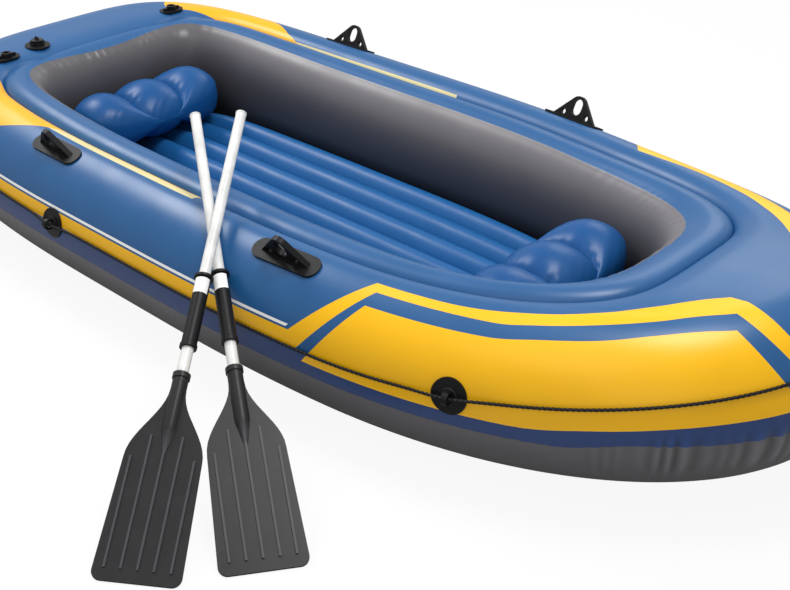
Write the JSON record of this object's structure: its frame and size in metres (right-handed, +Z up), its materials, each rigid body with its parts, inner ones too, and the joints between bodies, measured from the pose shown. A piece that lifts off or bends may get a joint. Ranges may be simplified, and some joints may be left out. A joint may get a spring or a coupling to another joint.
{
  "type": "inflatable rowing boat",
  "caption": "Inflatable rowing boat with an outer and an inner air chamber, ribbed floor, lobed seats, oarlocks, grab rope, screw valves and a pair of take-apart oars.",
  "frame": {"origin": "on the ground under the middle of the hull's length, on its middle line", "axes": "+X towards the bow, +Y to port, +Z up"},
  "size_m": [2.977, 1.998, 0.5668],
  "materials": {
    "hull_film": "gloss",
    "inner_film": "satin",
    "bottom_film": "matte",
    "floor_film": "gloss",
    "seat_film": "gloss",
    "rope_cord": "matte",
    "black_moulding": "satin",
    "grey_moulding": "satin",
    "clear_moulding": "gloss",
    "blade_plastic": "satin",
    "shaft_tube": "satin",
    "sleeve_plastic": "satin",
    "cap_plastic": "satin"
  },
  "bodies": {
    "hull": {"main_chamber": "hull_film", "inner_chamber": "inner_film", "bottom_sheet": "bottom_film", "floor_mattress": "floor_film", "floor_valve": "clear_moulding", "grab_rope": "rope_cord", "rope_holder_1": "black_moulding", "rope_holder_2": "black_moulding", "rope_holder_3": "black_moulding", "rope_holder_4": "black_moulding", "rope_holder_5": "black_moulding", "rope_holder_6": "black_moulding", "rope_holder_7": "black_moulding", "rope_holder_8": "black_moulding", "oarlock_1": "black_moulding", "oarlock_2": "black_moulding", "oarlock_3": "black_moulding", "oarlock_4": "black_moulding", "motor_mount_port": "black_moulding", "motor_mount_starboard": "black_moulding", "main_valve_base": "black_moulding", "inner_valve_base": "black_moulding"},
    "main_valve_insert": {"main_valve_insert": "black_moulding"},
    "main_valve_cap": {"main_valve_cap": "grey_moulding"},
    "inner_valve_insert": {"inner_valve_insert": "black_moulding"},
    "inner_valve_cap": {"inner_valve_cap": "grey_moulding"},
    "floor_valve_plug": {"floor_valve_plug": "clear_moulding"},
    "bow_seat": {"bow_seat": "seat_film", "bow_seat_valve": "clear_moulding"},
    "bow_seat_plug": {"bow_seat_plug": "clear_moulding"},
    "stern_seat": {"stern_seat": "seat_film", "stern_seat_valve": "clear_moulding"},
    "stern_seat_plug": {"stern_seat_plug": "clear_moulding"},
    "oar_1": {"oar_1_shaft": "shaft_tube", "oar_1_sleeve": "sleeve_plastic", "oar_1_cap": "cap_plastic"},
    "oar_1_blade": {"oar_1_blade": "blade_plastic"},
    "oar_2": {"oar_2_shaft": "shaft_tube", "oar_2_sleeve": "sleeve_plastic", "oar_2_cap": "cap_plastic"},
    "oar_2_blade": {"oar_2_blade": "blade_plastic"}
  },
  "joints": [
    {"name": "main_valve_turn", "type": "hinge", "parent": "hull", "child": "main_valve_insert", "pos_m": [-1.1795, -0.205, 0.41386], "axis": [0, 0, 1], "range_deg": [0, 540]},
    {"name": "main_cap_pull", "type": "slide", "parent": "main_valve_insert", "child": "main_valve_cap", "axis": [0, 0, 1], "range_m": [0, 0.03]},
    {"name": "inner_valve_turn", "type": "hinge", "parent": "hull", "child": "inner_valve_insert", "pos_m": [-0.26961, -0.333, 0.1935], "axis": [0, 1, 0], "range_deg": [0, 540]},
    {"name": "inner_cap_pull", "type": "slide", "parent": "inner_valve_insert", "child": "inner_valve_cap", "axis": [0, 1, 0], "range_m": [0, 0.03]},
    {"name": "floor_plug_pull", "type": "slide", "parent": "hull", "child": "floor_valve_plug", "axis": [0, 0, 1], "range_m": [0, 0.02]},
    {"name": "bow_seat_lift", "type": "slide", "parent": "hull", "child": "bow_seat", "axis": [0, 0, 1], "range_m": [0, 0.35]},
    {"name": "bow_plug_pull", "type": "slide", "parent": "bow_seat", "child": "bow_seat_plug", "axis": [1, 0, 0], "range_m": [0, 0.02]},
    {"name": "stern_seat_lift", "type": "slide", "parent": "hull", "child": "stern_seat", "axis": [0, 0, 1], "range_m": [0, 0.35]},
    {"name": "stern_plug_pull", "type": "slide", "parent": "stern_seat", "child": "stern_seat_plug", "axis": [-1, 0, 0], "range_m": [0, 0.012]},
    {"name": "oar_1_lift", "type": "slide", "parent": "hull", "child": "oar_1", "axis": [0, 0, 1], "range_m": [0, 0.3]},
    {"name": "oar_1_blade_pull", "type": "slide", "parent": "oar_1", "child": "oar_1_blade", "axis": [0.7445, -0.506, -0.4355], "range_m": [0, 0.11]},
    {"name": "oar_2_lift", "type": "slide", "parent": "oar_1", "child": "oar_2", "axis": [0, 0, 1], "range_m": [0, 0.3]},
    {"name": "oar_2_blade_pull", "type": "slide", "parent": "oar_2", "child": "oar_2_blade", "axis": [0.5244, -0.7217, -0.4518], "range_m": [0, 0.11]}
  ]
}
